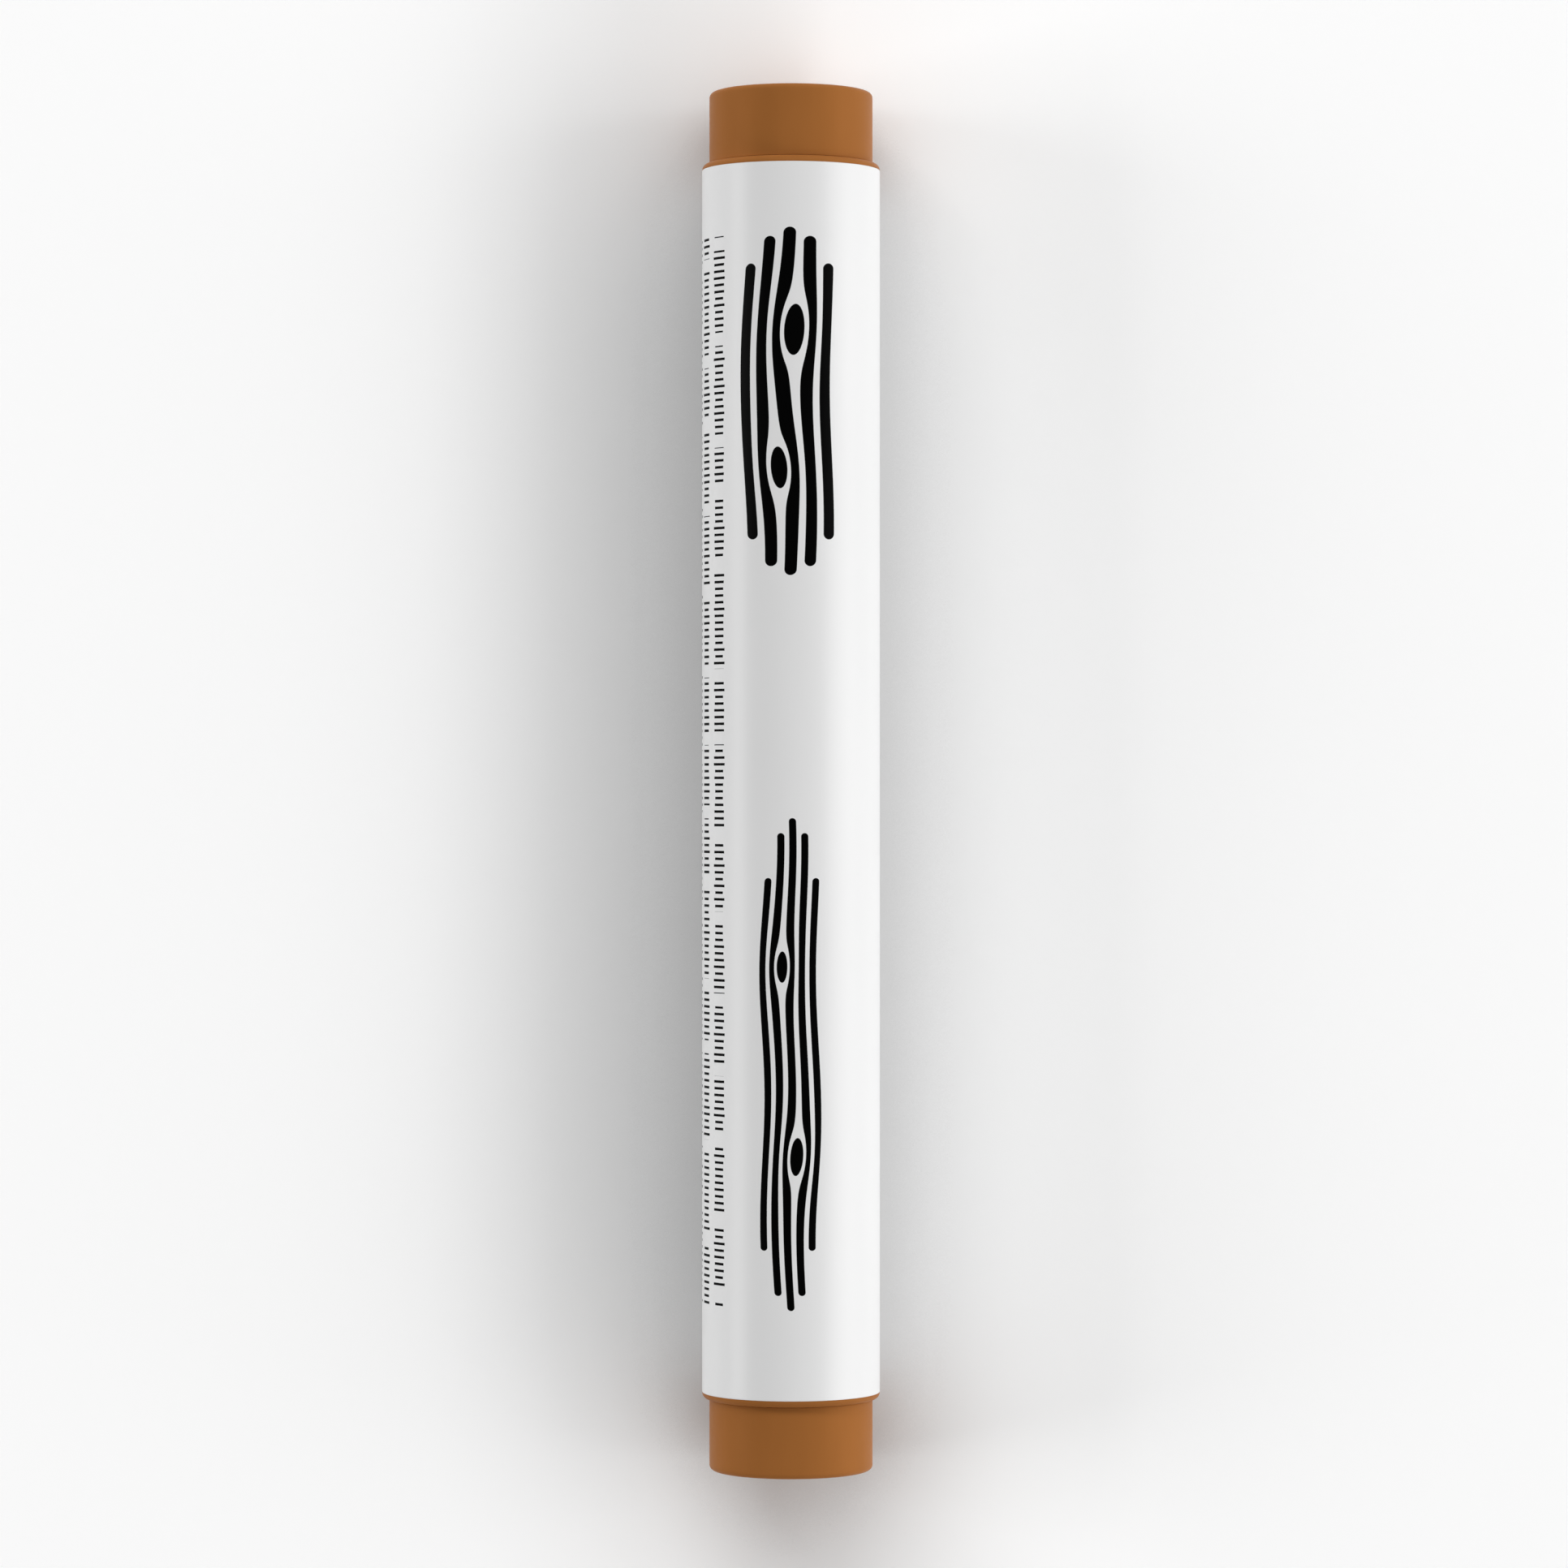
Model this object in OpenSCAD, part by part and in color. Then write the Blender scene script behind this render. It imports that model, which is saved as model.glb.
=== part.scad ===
// Twist-up wax stick for touching up furniture, lying on its side along Y.
// Lengths are in millimetres. The cap is at the +Y end and the twist knob at the -Y end.
// Turning the knob turns a lead screw, and a keyed carrier on it lifts the wax out of the barrel.

/* [Barrel] */
// Length of the moulded barrel, over its two rims
barrel_len = 125.52; // [105:0.02:150]
// Outside diameter of the barrel at its rims, flush with the label
barrel_d = 18.08; // [16.5:0.02:22]
// Wall of the barrel, from the bore to the rims' outside
barrel_wall = 1.74; // [1.5:0.02:2]
// Rounding of the outer edge at each end of the barrel
rim_round = 0.68; // [0.4:0.02:0.8]
// Length of the bare rim left at each end of the label
rim_len = 0.69; // [0.6:0.01:3]
// Chamfer on the inner edge at each end of the bore
mouth_chamfer = 0.3; // [0.2:0.05:0.4]
// Number of ribs in the bore that keep the carrier from turning
key_count = 4; // [2:1:6]
// Width of each rib
key_w = 1.5; // [1:0.1:2]
// Height of each rib above the bore
key_h = 0.6; // [0.4:0.05:0.7]

/* [Label] */
// Thickness of the label's film
film_t = 0.12; // [0.08:0.01:0.2]
// Thickness of the adhesive under the film
glue_t = 0.02; // [0.01:0.01:0.05]
// Width by which the end of the label laps over its start
lap_w = 3; // [1.5:0.5:5]
// Place of the lap round the barrel, from the top towards -X
lap_angle = 132; // [110:1:160]

/* [Heads of the cap and the knob] */
// How far each head stands past the end of the barrel
head_reach = 7.24; // [6:0.02:14]
// How far the side of each head lies inside the barrel's outside
head_step = 0.74; // [0.6:0.02:1]
// Rounding of the outer edge of each head
head_round = 0.54; // [0.3:0.02:1.2]
// Thickness of the end wall of each head
head_end_t = 1; // [0.8:0.1:1.4]

/* [Cap] */
// Gap between the seated cap and the barrel's mouth
seat_gap = 0.05; // [0.03:0.01:0.1]
// Wall of the liner inside the cap
liner_wall = 0.85; // [0.7:0.05:1]
// Thickness of the liner's closed end
liner_end_t = 0.7; // [0.5:0.1:0.9]
// How deep the liner plugs into the barrel
plug_len = 11; // [8:0.5:14]
// Chamfer that leads the liner into the barrel
plug_lead = 0.4; // [0.2:0.05:0.5]
// Gap all round between the liner and the bore
plug_gap = 0.05; // [0.04:0.01:0.1]

/* [Wax] */
// How far the tip of the wax lies inside the barrel's mouth
tip_depth = 12; // [9:0.5:20]
// Height of the domed tip
tip_rise = 2.4; // [1.5:0.1:4]
// Solid wax left between the dome and the bore for the screw
tip_solid = 3.6; // [2:0.2:8]
// Gap all round between the wax and the cap's liner
wax_gap = 0.4; // [0.3:0.05:0.6]
// Gap all round between the screw and its bore in the wax
wax_bore_gap = 0.4; // [0.3:0.05:0.6]

/* [Carrier] */
// Height of the cup that holds the foot of the wax
cup_h = 10; // [8:0.5:16]
// Thickness of the cup's floor
cup_floor = 1.8; // [1.4:0.1:2.4]
// Height of the threaded boss, from the underside of the cup
nut_h = 6; // [5:0.5:7]
// Wall of the threaded boss
nut_wall = 1.2; // [0.8:0.1:1.6]
// Height of the two helical lugs that ride in the screw's grooves
lug_h = 4; // [3:0.5:5]
// Gap between the carrier and the barrel's bore and ribs
slide_gap = 0.15; // [0.1:0.01:0.2]
// Gap under the carrier when it rests at the foot of the screw
rest_gap = 0.3; // [0.2:0.05:0.6]

/* [Lead screw] */
// Diameter over the thread's crests
screw_d = 4.8; // [4.2:0.1:5.6]
// Depth of the thread
thread_depth = 0.8; // [0.6:0.05:1]
// Rise of the thread in one turn
thread_lead = 8; // [6:0.5:12]
// Number of starts
thread_starts = 2; // [2:1:3]
// Gap all round between the screw and the carrier's boss and lugs
thread_gap = 0.15; // [0.12:0.01:0.2]
// Length of the pointed end of the screw
point_len = 1.6; // [1:0.1:2.5]
// Diameter of the journal that turns in the bush
journal_d = 5; // [4.8:0.1:5.6]
// Diameter of the collar in front of the bush
collar_d = 8; // [7.4:0.2:9.6]
// Thickness of the collar
collar_t = 1.4; // [1:0.1:2]
// Width across the flats of the hexagonal drive end
drive_af = 3.6; // [3:0.1:4]
// Length of the drive end
drive_len = 6.5; // [4:0.5:7]

/* [Bush and drag ring] */
// Length of the bush pressed into the rear of the barrel
bush_len = 6; // [5:0.5:8]
// Thickness of the bush's outer sleeve and of its web
bush_wall = 1.1; // [0.9:0.1:1.3]
// Running gap all round between the journal and the bush
running_gap = 0.1; // [0.08:0.01:0.1]
// End play of the screw on each side of the bush
end_play = 0.2; // [0.15:0.05:0.3]
// Thickness of the drag ring's cord
ring_cs = 1.5; // [1.2:0.1:1.8]

/* [Knob] */
// Gap between the knob and the barrel, at the end and all round
turn_gap = 0.2; // [0.15:0.01:0.3]
// Length of the knob's spigot inside the barrel
spigot_len = 2.5; // [1.5:0.1:3.5]
// Wall of the spigot
spigot_wall = 1.2; // [1:0.1:1.5]
// Wall of the hub round the drive end
hub_wall = 1.6; // [1.2:0.1:1.8]
// Number of webs between the hub and the skirt
web_count = 6; // [3:1:8]
// Thickness of each web
web_t = 0.9; // [0.7:0.1:1.2]

/* [Hidden] */
// Gap between pieces that are pressed, glued or cast together
fit_gap = 0.02;
// How far a cut runs past a face, and a fused shape into its neighbour
overrun = 0.5;
// Shares of one start's part of a turn that a ridge takes at its root and at its crest
ridge_root_share = 0.44;
ridge_crest_share = 0.28;
// Share of one start's part of a turn left free beside each flank of a lug
flank_share = 0.05;
// Shares of the thread's root that the screw's point takes at its foot and at its end
point_foot_share = 0.85;
point_end_share = 0.4;
// Number of sides of the drive end
drive_sides = 6;
// Steps of the thread's helix in one turn
helix_steps = 16;
// Steps along a crest and along the floor of a groove
arc_steps = 2;
groove_steps = 3;
$fn = 96;

barrel_r = barrel_d / 2;
barrel_half = barrel_len / 2;
bore_r = barrel_r - barrel_wall;
recess_r = barrel_r - film_t - glue_t;
label_len = barrel_len - 2 * rim_len;
key_r = bore_r - key_h;

head_r = barrel_r - head_step;
end_z = barrel_half + head_reach;

liner_r = bore_r - plug_gap;
liner_bore_r = liner_r - liner_wall;
liner_top_z = end_z - head_end_t - fit_gap;
liner_foot_z = barrel_half - plug_len;

spigot_r = bore_r - turn_gap;
knob_face_z = -barrel_half - turn_gap;
hub_face_z = knob_face_z + spigot_len;
drive_r = drive_af / 2 / cos(180 / drive_sides);
hub_r = drive_r + hub_wall;

bush_r = bore_r - fit_gap;
bush_z = hub_face_z + end_play;
bush_face_z = bush_z + bush_len;
journal_r = journal_d / 2;
ring_r = journal_r + fit_gap + ring_cs / 2;
ring_z = hub_face_z + fit_gap + ring_cs / 2;
ring_pocket_r = ring_r + ring_cs / 2 + running_gap;
ring_pocket_z = ring_z + ring_cs / 2 + running_gap;

collar_z = bush_face_z + end_play;
collar_face_z = collar_z + collar_t;
thread_z = collar_z + collar_t / 2;
screw_r = screw_d / 2;
root_r = screw_r - thread_depth;

cup_z = collar_face_z + rest_gap;
cup_r = bore_r - slide_gap;
nut_bore_r = screw_r + thread_gap;
nut_r = nut_bore_r + nut_wall;
lug_tip_r = root_r + thread_gap;
lug_z = cup_z + (nut_h - lug_h) / 2;

wax_r = liner_bore_r - wax_gap;
wax_z = cup_z + cup_floor + fit_gap;
wax_tip_z = barrel_half - tip_depth;
wax_bore_z = wax_tip_z - tip_rise - tip_solid;
dome_r = (wax_r * wax_r + tip_rise * tip_rise) / (2 * tip_rise);
screw_top_z = wax_bore_z - wax_bore_gap;
thread_top_z = screw_top_z - point_len;

// Lays a piece that is drawn standing along Z down along Y, resting on the ground
module laid() {
    translate([0, 0, barrel_r]) rotate([-90, 0, 0]) children();
}

// A straight rod between two heights
module rod(r, low, high) {
    translate([0, 0, low]) cylinder(r = r, h = high - low);
}

// A rod whose upper outer edge is rounded to a quarter circle
module rounded_rod(r, low, high, edge) {
    rotate_extrude() {
        translate([0, low]) square([r, high - edge - low]);
        translate([0, low]) square([r - edge, high - low]);
        translate([r - edge, high - edge]) circle(r = edge);
    }
}

// A rod whose upper outer edge is cut to a chamfer
module chamfered_rod(r, low, high, edge) {
    rotate_extrude()
        polygon([[0, low], [r, low], [r, high - edge], [r - edge, high], [0, high]]);
}

// The cut that chamfers the mouth of a bore at the top of a barrel half as long as half_len
module mouth_cut(r, half_len, edge) {
    translate([0, 0, half_len - edge])
        cylinder(r1 = r, r2 = r + edge + overrun, h = edge + overrun);
}

// The section of the screw: one ridge for each start, round a core
function screw_section() =
    let (turn = 360 / thread_starts)
    [for (start = [0 : thread_starts - 1])
        let (
            crest = turn * ridge_crest_share / 2,
            root = turn * ridge_root_share / 2,
            groove = turn - 2 * root,
            crests = [for (i = [0 : arc_steps]) [screw_r, -crest + 2 * crest * i / arc_steps]],
            floors = [for (i = [0 : groove_steps - 1]) [root_r, root + groove * i / groove_steps]]
        )
        for (p = concat([[root_r, -root]], crests, floors))
            let (a = start * turn + p[1]) p[0] * [cos(a), sin(a)]];

// The section of one lug, which fills a groove up to the gaps beside and below it
function lug_section() =
    let (
        turn = 360 / thread_starts,
        outer = turn * (1 - ridge_crest_share - 2 * flank_share) / 2,
        inner = turn * (1 - ridge_root_share - 2 * flank_share) / 2,
        outside = [for (i = [0 : groove_steps])
            [nut_bore_r + nut_wall / 2, -outer + 2 * outer * i / groove_steps]],
        inside = [for (i = [0 : groove_steps]) [lug_tip_r, inner - 2 * inner * i / groove_steps]]
    )
    [for (p = concat(outside, inside)) p[0] * [cos(p[1]), sin(p[1])]];

// Carries a section up a left-hand helix of the thread's lead, in step with the screw
module along_thread(low, high) {
    rise = high - low;
    translate([0, 0, low])
        rotate([0, 0, -360 * (low - thread_z) / thread_lead])
            linear_extrude(height = rise, twist = 360 * rise / thread_lead,
                           slices = ceil(helix_steps * rise / thread_lead), segments = 1)
                children();
}

// The moulded tube: rounded rims, a shallow bed for the label, and ribs that key the carrier
module barrel() {
    color("#a0642f") laid() difference() {
        union() {
            rounded_rod(barrel_r, -overrun, barrel_half, rim_round);
            mirror([0, 0, 1]) rounded_rod(barrel_r, -overrun, barrel_half, rim_round);
        }
        difference() {
            rod(barrel_r + overrun, -label_len / 2, label_len / 2);
            rod(recess_r, -barrel_half, barrel_half);
        }
        difference() {
            rod(bore_r, -barrel_half - overrun, barrel_half + overrun);
            for (i = [0 : key_count - 1])
                rotate([0, 0, 360 * i / key_count])
                    translate([key_r, -key_w / 2, bush_face_z + end_play])
                        cube([key_h + overrun, key_w, liner_foot_z - bush_face_z - 2 * end_play]);
        }
        mouth_cut(bore_r, barrel_half, mouth_chamfer);
        mirror([0, 0, 1]) mouth_cut(bore_r, barrel_half, mouth_chamfer);
    }
}

// The wrapped film, with its end lapped over its start on the underside
module wrap_label() {
    color("#f2f2f2") laid() {
        difference() {
            rod(barrel_r, -label_len / 2, label_len / 2);
            rod(recess_r + glue_t, -label_len / 2 - overrun, label_len / 2 + overrun);
        }
        translate([0, 0, -label_len / 2])
            rotate([0, 0, -90 - lap_angle])
                rotate_extrude(angle = lap_w / barrel_r * 180 / PI)
                    translate([barrel_r - film_t / 2, 0])
                        square([film_t / 2 + film_t, label_len]);
    }
}

// The brown head of the cap, a shell with a flat seat that meets the barrel's mouth
module cap_shell() {
    color("#a0642f") laid() difference() {
        rounded_rod(head_r, barrel_half + seat_gap, end_z, head_round);
        rod(liner_r + fit_gap, barrel_half, end_z - head_end_t);
    }
}

// The liner: a closed sleeve pressed into the shell, whose skirt plugs into the barrel
module cap_liner() {
    color("#e9e4d6") laid() difference() {
        mirror([0, 0, 1]) chamfered_rod(liner_r, -liner_top_z, -liner_foot_z, plug_lead);
        rod(liner_bore_r, liner_foot_z - overrun, liner_top_z - liner_end_t);
    }
}

// The knob: a head like the cap's, with a spigot inside the barrel and a webbed hub
module twist_knob() {
    color("#a0642f") laid() {
        difference() {
            union() {
                mirror([0, 0, 1]) rounded_rod(head_r, -knob_face_z, end_z, head_round);
                rod(spigot_r, knob_face_z - overrun, hub_face_z);
            }
            rod(spigot_r - spigot_wall, head_end_t - end_z, hub_face_z + overrun);
        }
        difference() {
            union() {
                rod(hub_r, head_end_t / 2 - end_z, hub_face_z);
                for (i = [0 : web_count - 1])
                    rotate([0, 0, 360 * i / web_count])
                        translate([hub_r / 2, -web_t / 2, head_end_t / 2 - end_z])
                            cube([spigot_r - spigot_wall / 2 - hub_r / 2, web_t,
                                  knob_face_z + end_z - head_end_t / 2]);
            }
            translate([0, 0, hub_face_z - drive_len - end_play])
                cylinder(r = drive_r + fit_gap, h = drive_len + end_play + overrun, $fn = drive_sides);
        }
    }
}

// The screw: a hexagonal drive end, a journal, a collar and the two-start thread
module lead_screw() {
    color("#d8d8d2") laid() {
        translate([0, 0, hub_face_z - drive_len])
            cylinder(r = drive_r, h = drive_len + overrun, $fn = drive_sides);
        rod(journal_r, hub_face_z, collar_z + collar_t / 4);
        rod(collar_d / 2, collar_z, collar_face_z);
        along_thread(thread_z, thread_top_z) polygon(screw_section());
        translate([0, 0, thread_top_z - overrun])
            cylinder(r1 = root_r * point_foot_share, r2 = root_r * point_end_share,
                     h = point_len + overrun);
    }
}

// The rubber ring stretched over the journal, in its pocket in the bush
module drag_ring() {
    color("#2b2b2b") laid()
        translate([0, 0, ring_z])
            rotate_extrude() translate([ring_r, 0]) circle(r = ring_cs / 2);
}

// The bush: a cored plug with a journal bearing and a pocket for the drag ring
module bearing_plug() {
    color("#e9e4d6") laid() difference() {
        chamfered_rod(bush_r, bush_z, bush_face_z, plug_lead);
        rod(journal_r + running_gap, bush_z - overrun, bush_face_z + overrun);
        rod(ring_pocket_r, bush_z - overrun, ring_pocket_z);
        difference() {
            rod(bush_r - bush_wall, ring_pocket_z + bush_wall, bush_face_z + overrun);
            rod(ring_pocket_r, bush_z, bush_face_z + 2 * overrun);
        }
    }
}

// The carrier: a cup keyed to the barrel's ribs, with a boss and two lugs that ride the thread
module carrier() {
    color("#e9e4d6") laid() {
        difference() {
            union() {
                difference() {
                    rod(cup_r, cup_z, cup_z + cup_h);
                    rod(wax_r + fit_gap, cup_z + cup_floor, cup_z + cup_h + overrun);
                }
                rod(nut_r, cup_z, cup_z + nut_h);
            }
            rod(nut_bore_r, cup_z - overrun, cup_z + nut_h + overrun);
            for (i = [0 : key_count - 1])
                rotate([0, 0, 360 * i / key_count])
                    translate([key_r - slide_gap, -key_w / 2 - slide_gap, cup_z - overrun])
                        cube([key_h + slide_gap + overrun, key_w + 2 * slide_gap,
                              cup_h + 2 * overrun]);
        }
        for (start = [0 : thread_starts - 1])
            along_thread(lug_z, lug_z + lug_h)
                rotate([0, 0, 360 * (start + 1 / 2) / thread_starts]) polygon(lug_section());
    }
}

// The wax: a cast round bar with a domed tip and a blind bore for the boss and the screw
module wax_core() {
    color("#8a4f22") laid() difference() {
        intersection() {
            rod(wax_r, wax_z, wax_tip_z);
            union() {
                rod(wax_r + overrun, wax_z - overrun, wax_tip_z - tip_rise);
                translate([0, 0, wax_tip_z - dome_r]) sphere(r = dome_r);
            }
        }
        rod(nut_r + fit_gap, wax_z - overrun, cup_z + nut_h + fit_gap);
        rod(screw_r + wax_bore_gap, wax_z - overrun, wax_bore_z);
    }
}

barrel();
wrap_label();
cap_shell();
cap_liner();
twist_knob();
lead_screw();
drag_ring();
bearing_plug();
carrier();
wax_core();
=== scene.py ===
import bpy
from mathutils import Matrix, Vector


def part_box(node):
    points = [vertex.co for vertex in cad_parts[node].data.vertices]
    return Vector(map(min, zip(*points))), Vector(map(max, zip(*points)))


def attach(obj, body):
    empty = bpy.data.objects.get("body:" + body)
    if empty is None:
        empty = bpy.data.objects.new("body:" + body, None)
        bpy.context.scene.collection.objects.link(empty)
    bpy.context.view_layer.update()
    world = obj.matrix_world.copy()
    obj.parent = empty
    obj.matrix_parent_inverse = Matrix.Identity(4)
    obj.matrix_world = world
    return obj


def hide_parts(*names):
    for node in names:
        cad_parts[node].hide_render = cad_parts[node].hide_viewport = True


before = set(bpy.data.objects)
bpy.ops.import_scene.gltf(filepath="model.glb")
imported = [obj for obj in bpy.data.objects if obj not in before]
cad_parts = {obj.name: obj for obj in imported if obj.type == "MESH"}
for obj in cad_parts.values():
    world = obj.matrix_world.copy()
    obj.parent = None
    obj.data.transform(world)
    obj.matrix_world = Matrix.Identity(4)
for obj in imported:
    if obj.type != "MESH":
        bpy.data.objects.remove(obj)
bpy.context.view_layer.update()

import math

import bmesh
import bpy
import numpy as np

# Barrel. A tube moulded in satin brown plastic, with rounded rims at its two open ends.
# A shallow bed round it takes the label, and four ribs in its bore key the wax so that it
# slides but never turns. It is the body that every other piece is fitted to.
MM = 0.001
barrel_low, barrel_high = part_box("barrel")
barrel_radius = (barrel_high.x - barrel_low.x) / 2
axis_height = (barrel_high.z + barrel_low.z) / 2
barrel_end = barrel_high.y
label_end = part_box("wrap_label")[1].y
film_thickness = 0.118 * MM
glue_thickness = 0.022 * MM
bed_radius = barrel_radius - film_thickness - glue_thickness
barrel_wall = 1.74 * MM
bore_radius = barrel_radius - barrel_wall
rim_rounding = 0.68 * MM
mouth_chamfer = 0.3 * MM
crisp = 0.06 * MM
rib_count = 4
rib_height = 0.6 * MM
rib_half_width = 0.75 * MM
rib_slope = 0.08 * MM
rib_rear = -54.06 * MM
rib_front = 51.56 * MM
full_turn = 2 * math.pi
rib_pitch = full_turn / rib_count
steps_round = 256
sharp_edge = math.radians(32)
hair = 0.01 * MM
same_point = 0.0002 * MM
deep_brown = (0.338, 0.127, 0.0323, 1)
pale_brown = (0.356, 0.134, 0.0344, 1)
brown_sheen = (1.0, 0.37, 0.1, 1)


def softened(corners, looped, steps=8):
    """Places and radii along a profile of (place, radius, rounding) corners.

    Each corner is rounded by a circle. With back and on the unit vectors to its neighbours and
    half the half angle between them, the circle touches the sides rounding / tan(half) away
    and its centre lies rounding / sin(half) away, along back + on. A point just past each touch
    keeps the sides straight when they are shaded.
    """
    spots = np.array([corner[:2] for corner in corners], float)
    points = []
    for i, (here, (_, _, rounding)) in enumerate(zip(spots, corners)):
        if rounding == 0 or (not looped and i in (0, len(spots) - 1)):
            points.append(here)
            continue
        back, on = spots[i - 1] - here, spots[(i + 1) % len(spots)] - here
        room = min(np.linalg.norm(back), np.linalg.norm(on))
        back, on = back / np.linalg.norm(back), on / np.linalg.norm(on)
        half = math.acos(np.clip(back @ on, -1, 1)) / 2
        reach = rounding / math.tan(half)
        centre = here + (back + on) / np.linalg.norm(back + on) * rounding / math.sin(half)
        first, last = here + back * reach - centre, here + on * reach - centre
        start = math.atan2(first[1], first[0])
        swing = (math.atan2(last[1], last[0]) - start + math.pi) % full_turn - math.pi
        angles = start + swing * np.linspace(0, 1, steps + 1)
        hold = min(reach / 2, max(room - reach, 0) / 4)
        points.append(here + back * (reach + hold))
        points.extend(centre + rounding * np.stack([np.cos(angles), np.sin(angles)], axis=1))
        points.append(here + on * (reach + hold))
    return np.array(points).T


def round_axis(place, radius, angle):
    """Points at a place along the stick, a radius from its axis and an angle from the top:

    x = radius sin(angle), y = place, z = axis height + radius cos(angle).
    """
    place, radius, angle = np.broadcast_arrays(place, radius, angle)
    height = axis_height + radius * np.cos(angle)
    return np.stack([radius * np.sin(angle), place, height], axis=-1)


def skinned(name, points, looped):
    """A mesh over a grid of points, whose columns close round on themselves.

    Row i is joined to row i + 1, and the last row to the first if looped. Otherwise the first
    and last row are filled flat. The faces are turned outwards if the volume that they enclose,
    the sum of a . (b x c) / 6 over their triangles, comes out negative. Points that fall on each
    other are joined, so no face is left without an area.
    """
    rows, columns = points.shape[:2]
    index = np.arange(rows * columns).reshape(rows, columns)
    lower = index if looped else index[:-1]
    upper = np.roll(index, -1, axis=0) if looped else index[1:]
    corners = [lower, np.roll(lower, -1, axis=1), np.roll(upper, -1, axis=1), upper]
    quads = np.stack(corners, axis=-1).reshape(-1, 4)
    vertices = points.reshape(-1, 3)
    a, b, c, d = (vertices[quads[:, k]] - vertices.mean(axis=0) for k in range(4))
    volume = (np.cross(b, c) * a).sum() + (np.cross(c, d) * a).sum()
    faces = quads.tolist()
    if not looped:
        faces += [index[0, ::-1].tolist(), index[-1].tolist()]
    if volume < 0:
        faces = [face[::-1] for face in faces]
    mesh = bpy.data.meshes.new(name)
    mesh.from_pydata(vertices.tolist(), [], faces)
    joined = bmesh.new()
    joined.from_mesh(mesh)
    bmesh.ops.remove_doubles(joined, verts=joined.verts, dist=same_point)
    joined.to_mesh(mesh)
    joined.free()
    mesh.polygons.foreach_set("use_smooth", np.ones(len(mesh.polygons), bool))
    mesh.set_sharp_from_angle(angle=sharp_edge)
    piece = bpy.data.objects.new(name, mesh)
    bpy.context.scene.collection.objects.link(piece)
    return piece


def round_angles(steps):
    """Evenly spaced angles, once round the axis."""
    return np.linspace(0, full_turn, steps, endpoint=False)


def turned(name, corners, looped):
    """A round piece: its profile of corners, softened and turned about the stick's axis."""
    place, radius = softened(corners, looped)
    return skinned(name, round_axis(place[:, None], radius[:, None], round_angles(steps_round)), looped)


class Wire:
    """A value on its way through a material. Sums and products of wires add their Math nodes."""

    def __init__(self, tree, socket=None):
        self.tree, self.socket = tree, socket

    def node(self, kind, settings, values, output=0):
        """Adds a node of that kind, sets it up, and feeds its sockets with numbers or wires."""
        made = self.tree.nodes.new(kind)
        for key, value in settings.items():
            setattr(made, key, value)
        for key, value in values.items():
            if isinstance(value, Wire):
                self.tree.links.new(value.socket, made.inputs[key])
            else:
                made.inputs[key].default_value = value
        return Wire(self.tree, made.outputs[output] if made.outputs else None)

    def math(self, operation, *values):
        return self.node("ShaderNodeMath", {"operation": operation}, dict(enumerate(values)))

    def __add__(self, other):
        return self.math("ADD", self, other)

    def __sub__(self, other):
        return self.math("SUBTRACT", self, other)

    def __rsub__(self, other):
        return self.math("SUBTRACT", other, self)

    def __mul__(self, other):
        return self.math("MULTIPLY", self, other)

    def __truediv__(self, other):
        return self.math("DIVIDE", self, other)

    def __rtruediv__(self, other):
        return self.math("DIVIDE", other, self)

    def __abs__(self):
        return self.math("ABSOLUTE", self)

    __radd__, __rmul__ = __add__, __mul__

    def spread(self, low, high, out_low=0.0, out_high=1.0):
        """Carries the stretch from low to high smoothly to that from out_low to out_high."""
        ends = dict(zip(("From Min", "From Max", "To Min", "To Max"), (low, high, out_low, out_high)))
        smooth = {"interpolation_type": "SMOOTHSTEP"}
        return self.node("ShaderNodeMapRange", smooth, {"Value": self, **ends})

    def blended(self, first, second):
        """The first colour where this wire is 0 and the second where it is 1."""
        return self.node("ShaderNodeMix", {"data_type": "RGBA"}, {0: self, 6: first, 7: second}, 2)

    def part(self, axis):
        """One of the three parts, X, Y or Z, of a place."""
        return self.node("ShaderNodeSeparateXYZ", {}, {"Vector": self}, axis)

    def clouds(self, across, along, detail=3.0):
        """Noise whose blotches are that wide across the stick and that long along it."""
        grain = (1 / across, 1 / along, 1 / across)
        scaled = self.node("ShaderNodeVectorMath", {"operation": "MULTIPLY"}, {0: self, 1: grain})
        return scaled.node("ShaderNodeTexNoise", {}, {"Vector": scaled, "Scale": 1.0, "Detail": detail})

    def raised(self, height, under=None):
        """The normal of a surface raised by this wire times a height, over another normal."""
        values = {"Height": self, "Distance": height, **({"Normal": under} if under else {})}
        return self.node("ShaderNodeBump", {}, values)


def finish(name, dress):
    """A material whose Principled sockets are what dress makes of the place on the piece."""
    material = bpy.data.materials.new(name)
    material.use_nodes = True
    tree = material.node_tree
    shader = next(node for node in tree.nodes if node.type == "BSDF_PRINCIPLED")
    place = Wire(tree).node("ShaderNodeTexCoord", {}, {}, "Object")
    for key, value in dress(place).items():
        if isinstance(value, Wire):
            tree.links.new(value.socket, shader.inputs[key])
        else:
            shader.inputs[key].default_value = value
    return material


def brown_plastic(place):
    """Satin brown moulding: long faint swirls of pigment, and a low sheen of its own colour."""
    swirl = place.clouds(3.5 * MM, 14 * MM)
    skin = place.clouds(0.35 * MM, 0.5 * MM, 2.0)
    return {
        "Base Color": swirl.spread(0.3, 0.7).blended(deep_brown, pale_brown),
        "Roughness": skin.spread(0.3, 0.7, 0.38, 0.43),
        "IOR": 1.46,
        "Specular IOR Level": 0.06,
        "Specular Tint": brown_sheen,
        "Normal": skin.raised(0.0005 * MM),
    }


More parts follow.
